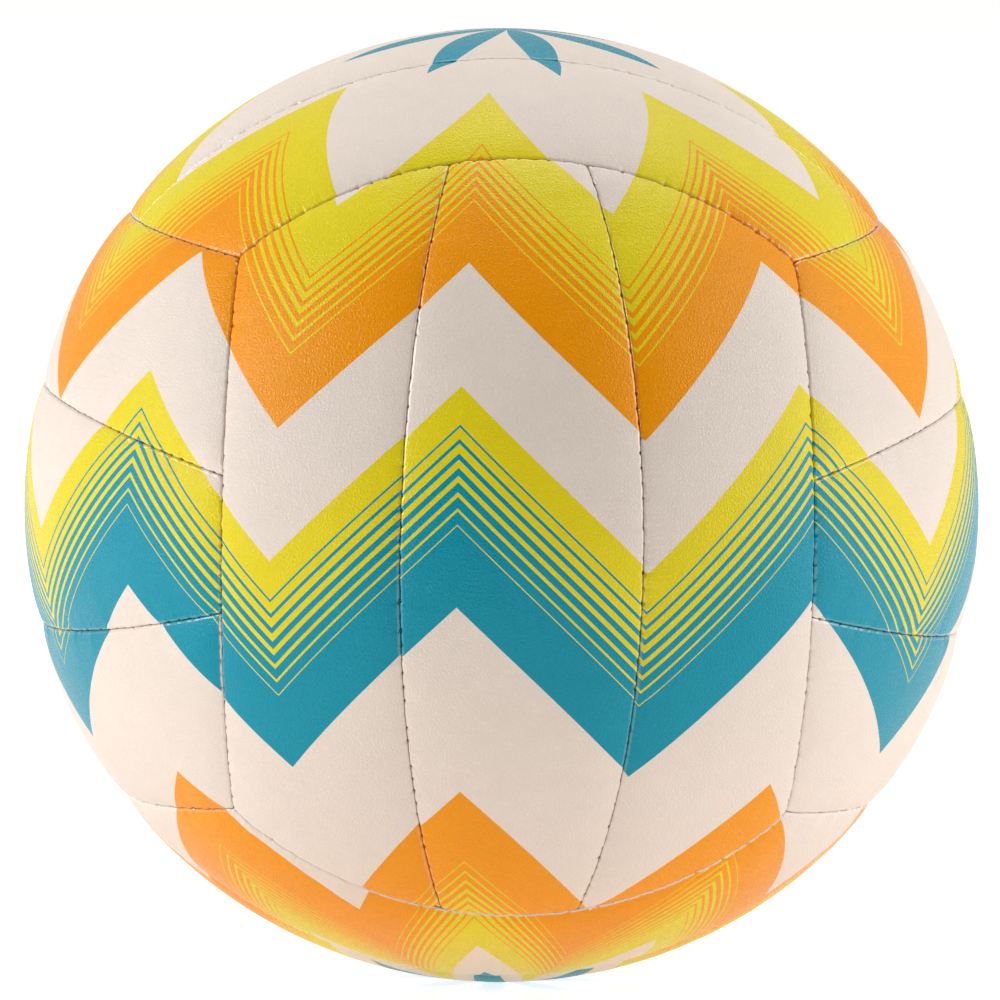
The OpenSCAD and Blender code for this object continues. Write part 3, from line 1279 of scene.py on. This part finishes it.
@dataclass(frozen=True)
class PlainWeave:
    """A plain weave: how softly its threads cross, and where the gaps between them lie."""

    crossing: float = 0.2
    gap: Ramp = (0.1, 0.5, 1.0, 0.0)

    def make_group(self) -> None:
        """Makes the node group: Height of the threads, and Gap, which is 1 between them.

        Inputs are the place in the cloth's plane and the distance from thread to thread. Warp and
        weft are waves sin x and sin y, and which of them lies on top changes from crossing to
        crossing.
        """
        maker = GroupSheet("plain_weave", (("Vector", VECTOR, None), ("Pitch", FLOAT, 0.6 * MM)),
                           (("Height", FLOAT), ("Gap", FLOAT)))
        sheet, given = maker.start()
        turns = sheet.vector("DIVIDE", given["Vector"], given["Pitch"])
        parts = sheet.add("SeparateXYZ", {0: turns})
        x, y = (sheet.maths("MULTIPLY", parts.outputs[k], math.pi) for k in (0, 1))
        warp, weft = (sheet.maths("ABSOLUTE", sheet.maths("SINE", v)) for v in (x, y))
        halves = (sheet.maths("MULTIPLY", v, 0.5) for v in (x, y))
        over = sheet.maths("MULTIPLY", *(sheet.maths("SINE", v) for v in halves))
        over = sheet.between(over, -self.crossing, self.crossing)
        both = sheet.maths("ADD", sheet.maths("MULTIPLY", warp, over),
                           sheet.maths("MULTIPLY", weft, sheet.maths("SUBTRACT", 1.0, over)))
        gap = sheet.between(sheet.maths("MAXIMUM", warp, weft), *self.gap)
        maker.finish(sheet, {"Height": both, "Gap": gap})


class Ink(Enum):
    """The three inks of the print."""

    YELLOW = "Yellow"
    ORANGE = "Orange"
    TEAL = "Teal"


class Edge(Enum):
    """How a band of the print ends: in a plain edge, or in lines that thin out up or down."""

    PLAIN = "plain"
    THINS_UP = "thins up"
    THINS_DOWN = "thins down"


@dataclass(frozen=True)
class Band:
    """One zigzag band of ink round the ball, between two heights along a meridian."""

    low: float
    high: float
    ink: Ink
    edge: Edge = Edge.PLAIN


@dataclass(frozen=True)
class ZigzagPrint:
    """The print: zigzag bands round the upright axis, some of which fade into fine lines.

    Heights and the pitch of the lines are in millimetres. The turn is a share of a zigzag.
    """

    ball_radius: float
    zigzags: float = 8.0
    turn: float = 0.17
    rise: float = 20.0
    line_pitch: float = 3.3
    thinnest: float = 0.1
    bands: tuple[Band, ...] = (
        Band(148.0, 400.0, Ink.TEAL),
        Band(60.0, 100.0, Ink.YELLOW),
        Band(58.0, 84.0, Ink.ORANGE, Edge.THINS_UP),
        Band(46.0, 60.0, Ink.ORANGE),
        Band(-14.0, 17.0, Ink.YELLOW),
        Band(-16.0, 11.0, Ink.TEAL, Edge.THINS_UP),
        Band(-31.0, -14.0, Ink.TEAL),
        Band(-94.0, -75.0, Ink.ORANGE),
        Band(-130.0, -94.0, Ink.YELLOW),
        Band(-120.0, -92.0, Ink.ORANGE, Edge.THINS_DOWN),
        Band(-400.0, -150.0, Ink.TEAL),
    )

    def make_group(self) -> None:
        """Makes the print's node group.

        Height is the arc above the equator plus a triangle wave of the longitude. A band covers
        low < height < high. Where it thins out, only lines remain: abs(fract(height / pitch) - 1/2)
        * 2 is set against a share that falls from 1 over the band. Ink is 1 on printed places.
        """
        colours = tuple((label, COLOUR, WHITE) for label in ("Ground", *(i.value for i in Ink)))
        maker = GroupSheet("zigzag_print", (("Vector", VECTOR, None), *colours),
                           (("Color", COLOUR), ("Ink", FLOAT)))
        sheet, given = maker.start()
        way = sheet.vector("NORMALIZE", given["Vector"])
        place = sheet.add("SeparateXYZ", {0: way})
        x, y, z = (place.outputs[k] for k in range(3))
        longitude = sheet.maths("ARCTAN2", x, sheet.maths("MULTIPLY", y, -1.0))
        waves = sheet.maths("MULTIPLY_ADD", longitude, self.zigzags / (2 * math.pi), self.turn)
        zigzag = sheet.maths("PINGPONG", waves, 0.5)
        arc = sheet.maths("MULTIPLY", sheet.maths("ARCSINE", z), self.ball_radius / MM)
        height = sheet.maths("MULTIPLY_ADD", zigzag, 4 * self.rise, arc)
        height = sheet.maths("SUBTRACT", height, self.rise)
        lines = sheet.maths("FRACT", sheet.maths("DIVIDE", height, self.line_pitch))
        lines = sheet.maths("ABSOLUTE", sheet.maths("SUBTRACT", lines, 0.5))
        lines = sheet.maths("MULTIPLY", lines, 2.0)
        colour, printed = given["Ground"], 0.0
        for band in self.bands:
            cover = sheet.maths("MULTIPLY", sheet.maths("GREATER_THAN", height, band.low),
                                sheet.maths("LESS_THAN", height, band.high))
            if band.edge is not Edge.PLAIN:
                up = band.edge is Edge.THINS_UP
                ends = (1.0, self.thinnest) if up else (self.thinnest, 1.0)
                share = sheet.between(height, band.low, band.high, *ends, smooth=False)
                cover = sheet.maths("MULTIPLY", cover, sheet.maths("LESS_THAN", lines, share))
            colour = sheet.blend(cover, colour, given[band.ink.value])
            printed = sheet.maths("MAXIMUM", printed, cover)
        maker.finish(sheet, {"Color": colour, "Ink": printed})


class FinishSheet(NodeSheet):
    """The nodes of one new material with a principled shader, and the object's own places."""

    def __init__(self, name: str) -> None:
        """Makes the material and its shader, which feeds the output.

        Args:
            name: The material's name.
        """
        self.material = bpy.data.materials.new(name)
        self.material.use_nodes = True
        super().__init__(self.material.node_tree)
        self.shader = self.add("BsdfPrincipled")
        self.add("OutputMaterial", {"Surface": self.shader.outputs[0]})
        self.place = self.add("TexCoord").outputs["Object"]

    def attribute(self, name: str, output: str = "Fac") -> Socket:
        """Reads what was stored on a piece's points, as a number, or else as its Vector."""
        return self.add("Attribute", attribute_name=name).outputs[output]

    def grain(self, size: float) -> Sockets:
        """The Height and the Crease of pebbles of a size."""
        return self.group("pebble_grain", {"Vector": self.place, "Size": size}).outputs

    def clouds(self, size: float) -> Socket:
        """Slow mottling of a size, from 0 to 1 about a half."""
        return self.group("mottle", {"Vector": self.place, "Size": size}).outputs["Value"]

    def dress(self, colour: Socket, roughness: Socket, height: Socket,
              relief: float) -> bpy.types.Material:
        """Feeds the shader.

        Args:
            colour: The colour.
            roughness: The roughness.
            height: A height from 0 to 1.
            relief: The depth that this height stands for.

        Returns:
            The material.
        """
        bump = self.add("Bump", {"Height": height, "Distance": relief, "Strength": 1.0})
        for label, socket in (("Base Color", colour), ("Roughness", roughness),
                              ("Normal", bump.outputs[0])):
            self.join(socket, self.shader.inputs[label])
        return self.material


@dataclass(frozen=True)
class Finish(ABC):
    """A finish under its material's name. Each kind builds the material from its own fields."""

    name: str

    @abstractmethod
    def material(self) -> bpy.types.Material:
        """Builds the material."""


@dataclass(frozen=True)
class CoverFinish(Finish):
    """Pebbled synthetic leather with a zigzag print.

    The dust and painted shade at the seams, and the polish, are maps of the distance from the seam
    in millimetres.
    """

    ground: Colour = screen_colour(238, 222, 209)
    yellow: Colour = screen_colour(235, 214, 26)
    orange: Colour = screen_colour(248, 154, 0)
    teal: Colour = screen_colour(0, 146, 168)
    margin_edge: float = 0.05
    pebble: float = 0.82 * MM
    relief: float = 0.06 * MM
    cloud_size: float = 24 * MM
    tone: Ramp = (0.3, 0.7, 0.965, 1.02)
    crease_shade: float = 0.05
    # Colour of the painted shade, with a little dust, in the seam grooves.
    seam_shade: Colour = screen_colour(190, 160, 138)
    seam_dust_and_shade: Ramp = (0.02, 0.18, 0.6, 0.0)
    roughness: float = 0.5
    ink_roughness: float = 0.26
    crease_roughness: float = 0.12
    specular: float = 0.22
    polish_start: Ramp = (0.02, 0.14, 0.0, 1.0)
    polish_end: Ramp = (0.4, 0.85, 1.0, 0.0)
    coat_roughness: float = 0.2
    coat_ior: float = 1.8

    def material(self) -> bpy.types.Material:
        """Builds the finish: print and ground over the grain, painted shade and dust in the seams,
        polished shoulders.

        Returns:
            The material.
        """
        sheet = FinishSheet(self.name)
        seam = sheet.attribute("seam_distance")
        moved = sheet.vector("ADD", sheet.place, sheet.attribute("print_shift", "Vector"))
        art = sheet.group("zigzag_print", {
            "Vector": moved, "Ground": self.ground, Ink.YELLOW.value: self.yellow,
            Ink.ORANGE.value: self.orange, Ink.TEAL.value: self.teal}).outputs
        inked = sheet.between(sheet.attribute("print_margin"), -self.margin_edge, self.margin_edge)
        ink = sheet.maths("MULTIPLY", inked, art["Ink"])
        colour = sheet.blend(inked, self.ground, art["Color"])
        grain = sheet.grain(self.pebble)
        tone = sheet.between(sheet.clouds(self.cloud_size), *self.tone, smooth=False)
        creased = sheet.maths("MULTIPLY", grain["Crease"], self.crease_shade)
        tone = sheet.maths("SUBTRACT", tone, creased)
        shade = sheet.add("CombineColor", {0: tone, 1: tone, 2: tone})
        colour = sheet.blend(1.0, colour, shade.outputs[0], "MULTIPLY")
        # Painted shade: the colour darkens towards the seam, where the groove lies in shade, with a
        # little dust.
        seam_dust_and_shade = sheet.between(seam, *self.seam_dust_and_shade)
        colour = sheet.blend(seam_dust_and_shade, colour, self.seam_shade, "MULTIPLY")
        rough = sheet.between(ink, 0.0, 1.0, self.roughness, self.ink_roughness, smooth=False)
        rough = sheet.maths("MULTIPLY_ADD", grain["Crease"], self.crease_roughness, rough)
        polish = sheet.maths("MULTIPLY", sheet.between(seam, *self.polish_start),
                             sheet.between(seam, *self.polish_end))
        for label, value in (("Specular IOR Level", self.specular), ("Coat Weight", polish),
                             ("Coat Roughness", self.coat_roughness),
                             ("Coat IOR", self.coat_ior)):
            sheet.join(value, sheet.shader.inputs[label])
        return sheet.dress(colour, rough, grain["Height"], self.relief)


@dataclass(frozen=True)
class FoamFinish(Finish):
    """Soft closed-cell foam, pale grey, with fine pores."""

    colour: Colour = screen_colour(226, 224, 216)
    shade: Colour = screen_colour(176, 172, 160)
    pore: float = 0.6 * MM
    relief: float = 0.08 * MM
    cloud_size: float = 18 * MM
    shading: Ramp = (0.35, 0.65, 0.0, 0.3)
    roughness: Ramp = (0.3, 0.7, 0.8, 0.95)

    def material(self) -> bpy.types.Material:
        """Builds the finish from pores and slow mottling.

        Returns:
            The material.
        """
        sheet = FinishSheet(self.name)
        grain, cloud = sheet.grain(self.pore), sheet.clouds(self.cloud_size)
        colour = sheet.blend(grain["Crease"], self.colour, self.shade)
        colour = sheet.blend(sheet.between(cloud, *self.shading), colour, self.shade)
        return sheet.dress(colour, sheet.between(cloud, *self.roughness), grain["Height"],
                           self.relief)


@dataclass(frozen=True)
class ClothFinish(Finish):
    """Plain-woven cloth, whose threads follow an attribute or the object's own places."""

    colour: Colour
    gap_colour: Colour
    pitch: float = 0.7 * MM
    attribute: str = ""
    relief: float = 0.12 * MM
    cloud_size: float = 12 * MM
    shading: Ramp = (0.35, 0.7, 0.0, 0.25)
    roughness: Ramp = (0.0, 1.0, 0.95, 0.8)

    def material(self) -> bpy.types.Material:
        """Builds the finish from a plain weave with slightly uneven threads.

        Returns:
            The material.
        """
        sheet = FinishSheet(self.name)
        flat = sheet.attribute(self.attribute, "Vector") if self.attribute else sheet.place
        weave = sheet.group("plain_weave", {"Vector": flat, "Pitch": self.pitch}).outputs
        shading = sheet.between(sheet.clouds(self.cloud_size), *self.shading)
        # Painted shade: the gaps between the threads take the darker gap colour.
        colour = sheet.blend(weave["Gap"], self.colour, self.gap_colour)
        colour = sheet.blend(shading, colour, self.gap_colour)
        return sheet.dress(colour, sheet.between(weave["Height"], *self.roughness),
                           weave["Height"], self.relief)


@dataclass(frozen=True)
class RubberFinish(Finish):
    """Moulded rubber with a dusting of talc and a faint skin."""

    colour: Colour
    dust: Colour
    dusting: float
    roughness: float
    dust_roughness: float = 0.6
    dust_range: tuple[float, float] = (0.42, 0.7)
    skin: float = 0.35 * MM
    relief: float = 0.012 * MM
    cloud_size: float = 9 * MM

    def material(self) -> bpy.types.Material:
        """Builds the finish from a fine skin and clouds of dust.

        Returns:
            The material.
        """
        sheet = FinishSheet(self.name)
        cloud = sheet.clouds(self.cloud_size)
        dusty = sheet.between(cloud, *self.dust_range, 0.0, self.dusting)
        colour = sheet.blend(dusty, self.colour, self.dust)
        rough = sheet.maths("MULTIPLY_ADD", dusty, self.dust_roughness, self.roughness)
        return sheet.dress(colour, rough, sheet.grain(self.skin)["Height"], self.relief)


@dataclass(frozen=True)
class ThreadFinish(Finish):
    """Dark twisted sewing thread. Strands are waves to a metre."""

    colour: Colour = screen_colour(112, 84, 66)
    lint: Colour = screen_colour(160, 136, 116)
    strands: float = 900.0
    unevenness: float = 2.0
    relief: float = 0.06 * MM
    cloud_size: float = 2 * MM
    linting: Ramp = (0.45, 0.75, 0.0, 0.6)
    roughness: Ramp = (0.3, 0.7, 0.65, 0.85)

    def material(self) -> bpy.types.Material:
        """Builds the finish from slanting strands and a little lint.

        Returns:
            The material.
        """
        sheet = FinishSheet(self.name)
        strands = sheet.add("TexWave", {
            "Vector": sheet.place, "Scale": self.strands, "Distortion": self.unevenness,
            "Detail": 1.0}, bands_direction="DIAGONAL")
        cloud = sheet.clouds(self.cloud_size)
        colour = sheet.blend(sheet.between(cloud, *self.linting), self.colour, self.lint)
        return sheet.dress(colour, sheet.between(cloud, *self.roughness),
                           strands.outputs["Fac"], self.relief)


@dataclass(frozen=True)
class CameraView:
    """The camera at the photograph's angle.

    Turns are in radians, the distance is in radii of the ball, and the film is in millimetres. The
    focal length and the shift are in pixels of a square picture.
    """

    yaw: float = 0.0446328
    pitch: float = 0.110622
    roll: float = 0.0122672
    distance: float = 29.217
    picture: float = 1000.0
    focal: float = 13940.0
    shift: tuple[float, float] = (-1.43, 5.17)
    film: float = 36.0
    clip: tuple[float, float] = (0.1, 100.0)

    def make(self, ball_radius: float) -> None:
        """Makes the camera: its turn is roll about Y after pitch about X after yaw about Z.

        Args:
            ball_radius: Radius of the ball.
        """
        turn = (Matrix.Rotation(self.roll, 3, "Y") @ Matrix.Rotation(self.pitch, 3, "X")
                @ Matrix.Rotation(self.yaw, 3, "Z")).transposed()
        looking = Matrix(((1, 0, 0), (0, 0, -1), (0, 1, 0)))
        data = bpy.data.cameras.new("photo_view")
        data.lens, data.sensor_width = self.focal * self.film / self.picture, self.film
        data.shift_x, data.shift_y = (pixels / self.picture for pixels in self.shift)
        data.clip_start, data.clip_end = self.clip
        camera = bpy.data.objects.new("photo_view", data)
        bpy.context.scene.collection.objects.link(camera)
        place = turn @ Vector((0, -self.distance * ball_radius, 0))
        camera.matrix_world = Matrix.Translation(place) @ (turn @ looking).to_4x4()
        bpy.context.scene.camera = camera


@dataclass(frozen=True)
class Softbox:
    """A square soft lamp. Level is the brightness that it gives a white surface that faces it.

    Its azimuth and its elevation are in degrees.
    """

    name: str
    azimuth: float
    elevation: float
    level: float
    width: float
    distance: float = 1.7
    colour: Colour = screen_colour(247, 251, 255)

    def make(self) -> None:
        """Makes the lamp, which looks at the ball: its watts are level * (pi * distance)^2."""
        data = bpy.data.lights.new(self.name, "AREA")
        data.shape, data.size = "SQUARE", self.width
        data.color = self.colour[:3]
        data.energy = self.level * (math.pi * self.distance) ** 2
        lamp = bpy.data.objects.new(self.name, data)
        bpy.context.scene.collection.objects.link(lamp)
        turn, lift = math.radians(self.azimuth), math.radians(self.elevation)
        back = Vector((math.sin(turn) * math.cos(lift), -math.cos(turn) * math.cos(lift),
                       math.sin(lift)))
        lamp.location = back * self.distance
        lamp.rotation_mode = "QUATERNION"
        lamp.rotation_quaternion = (-back).to_track_quat("-Z", "Y")
        lamp.visible_camera = False


@dataclass(frozen=True)
class Studio:
    """A pale floor, soft lamps from both sides and a surround that is dark behind the camera."""

    ambient: float = 0.27
    ambient_tilt: float = 0.37
    ambient_colour: Colour = screen_colour(255, 250, 242)
    floor_colour: Colour = screen_colour(218, 215, 211)
    floor_lift: float = 0.79
    floor_bounce: float = 0.45
    floor_width: float = 40.0
    floor_cells: int = 4
    lamps: tuple[Softbox, ...] = (
        Softbox("left_softbox", -78, 22, 0.76, 1.1),
        Softbox("right_softbox", 80, 20, 0.73, 1.5),
        Softbox("top_softbox", 160, 68, 0.45, 1.3),
    )

    def make(self, floor_height: float) -> None:
        """Makes the lamps, the surround and the floor, and sets how colours are shown.

        Args:
            floor_height: Height of the floor, on which the ball stands.
        """
        for lamp in self.lamps:
            lamp.make()
        self.make_surround()
        self.make_floor(floor_height)
        bpy.context.scene.view_settings.view_transform = "Standard"

    def make_surround(self) -> None:
        """Makes the surround: its light is ambient + tilt * y, at least 0, and it looks white."""
        world = bpy.data.worlds.new("pale_surround")
        world.use_nodes = True
        bpy.context.scene.world = world
        sheet = NodeSheet(world.node_tree)
        seen = sheet.seen()
        way = sheet.add("SeparateXYZ", {0: sheet.add("TexCoord").outputs["Generated"]})
        light = sheet.maths("MULTIPLY_ADD", way.outputs[1], self.ambient_tilt, self.ambient)
        light = sheet.maths("MAXIMUM", light, 0.0)
        level = sheet.between(seen, 0.0, 1.0, light, 1.0, smooth=False)
        colour = sheet.blend(seen, self.ambient_colour, WHITE)
        light = sheet.add("Background", {"Color": colour, "Strength": level})
        sheet.add("OutputWorld", {"Surface": light.outputs[0]})

    def make_floor(self, height: float) -> None:
        """Makes the floor, lifted for the camera so that only its shadow is grey.

        From below it is clear, so that the camera sees through it.

        Args:
            height: Its height.
        """
        parts, half = MeshParts(), self.floor_width / 2
        steps = np.linspace(-half, half, self.floor_cells + 1)
        flat = np.stack(np.broadcast_arrays(steps[:, None], steps[None, :], height), axis=-1)
        parts.grid(parts.add(flat))
        floor = parts.piece("studio_floor")
        material = bpy.data.materials.new("pale_floor")
        material.use_nodes = True
        sheet = NodeSheet(material.node_tree)
        glow = sheet.between(sheet.seen(), 0.0, 1.0, self.floor_bounce, self.floor_lift,
                             smooth=False)
        matt = sheet.add("BsdfDiffuse", {"Color": self.floor_colour})
        lift = sheet.add("Emission", {"Color": WHITE, "Strength": glow})
        both = sheet.add("AddShader", {0: matt.outputs[0], 1: lift.outputs[0]})
        hidden = sheet.maths("MULTIPLY", sheet.add("NewGeometry").outputs["Backfacing"],
                             sheet.add("LightPath").outputs["Is Camera Ray"])
        clear = sheet.add("BsdfTransparent")
        mixed = sheet.add("MixShader", {0: hidden, 1: both.outputs[0], 2: clear.outputs[0]})
        sheet.add("OutputMaterial", {"Surface": mixed.outputs[0]})
        floor.data.materials.append(material)


@dataclass
class Ball:
    """The whole ball: panels, thread, bladder and valve."""

    pattern: PanelPattern
    layers: Layers = Layers()
    valve_panel: tuple[Face, int] = (Face.BACK, 1)

    @staticmethod
    def wear(piece: bpy.types.Object, material: bpy.types.Material) -> None:
        """Gives a piece one material in place of what it had."""
        piece.data.materials.clear()
        piece.data.materials.append(material)

    def place(self, piece: bpy.types.Object, material: bpy.types.Material, slot: str,
              node: str) -> bpy.types.Object:
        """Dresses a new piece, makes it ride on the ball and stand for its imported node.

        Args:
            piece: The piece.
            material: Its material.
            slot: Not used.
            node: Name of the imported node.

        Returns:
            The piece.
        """
        self.wear(piece, material)
        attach(piece, BODY)
        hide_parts(node)
        LOG.info("%s: %d faces, stands for %s", piece.name, len(piece.data.polygons), node)
        return piece

    def make_panels(self) -> None:
        """Builds the cover, the pad and the lining of all eighteen panels."""
        cover_finish = CoverFinish("printed_cover").material()
        foam = FoamFinish("foam_pad").material()
        cloth = ClothFinish("lining_cloth", screen_colour(222, 216, 202),
                            screen_colour(150, 144, 132), attribute="cloth_place").material()
        panels = [(face, strip) for face in Face for strip in range(3)]
        for number, (face, strip) in enumerate(panels):
            panel = Panel(face, strip, number, self.pattern, self.layers,
                          valve=(face, strip) == self.valve_panel)
            name, (width, length) = panel.name, self.pattern.size(strip)
            cover = self.place(panel.cover(), cover_finish, "cover", f"{name}_cover")
            pad = self.place(panel.pad(), foam, "foam", f"{name}_pad")
            lining = self.place(panel.lining(), cloth, "lining", f"{name}_lining")

    def make_threads(self) -> None:
        """Builds the stitches of the seams between faces and between strips."""
        thread, maker = ThreadFinish("sewing_thread").material(), SeamThreads(self.pattern)
        for kind, between_faces in (("face", True), ("strip", False)):
            piece = maker.piece(f"{kind}_seam_stitches", between_faces)
            self.place(piece, thread, "thread", f"{kind}_seam_threads")

    def dress_inside(self) -> None:
        """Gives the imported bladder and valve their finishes."""
        chalk = screen_colour(214, 208, 196)
        finishes = {
            "bladder": RubberFinish("bladder_rubber", screen_colour(34, 33, 35), chalk, 0.4, 0.5),
            "valve_body": RubberFinish("valve_rubber", screen_colour(28, 28, 30), chalk,
                                       0.12, 0.45),
            "valve_core": RubberFinish("core_rubber", screen_colour(58, 56, 54), chalk, 0.1, 0.42),
            "valve_patch": ClothFinish("patch_canvas", screen_colour(196, 186, 162),
                                       screen_colour(128, 118, 98), 0.8 * MM),
        }
        for node, finish in finishes.items():
            self.wear(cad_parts[node], finish.material())
            LOG.info("%s: packed solid with its own finish", node)


def main() -> None:
    """Makes the camera, the studio and the ball, and reports each piece."""
    logging.basicConfig(level=logging.INFO, format="%(name)s: %(message)s")
    ball_radius = CAD_BOX[1].z
    CameraView().make(ball_radius)
    Studio().make(CAD_BOX[0].z)
    for maker in (PebbleGrain(), Mottle(), PlainWeave(), ZigzagPrint(ball_radius)):
        maker.make_group()
    ball = Ball(PanelPattern(ball_radius))
    ball.make_panels()
    ball.make_threads()
    ball.dress_inside()


if __name__ == "__main__":
    main()
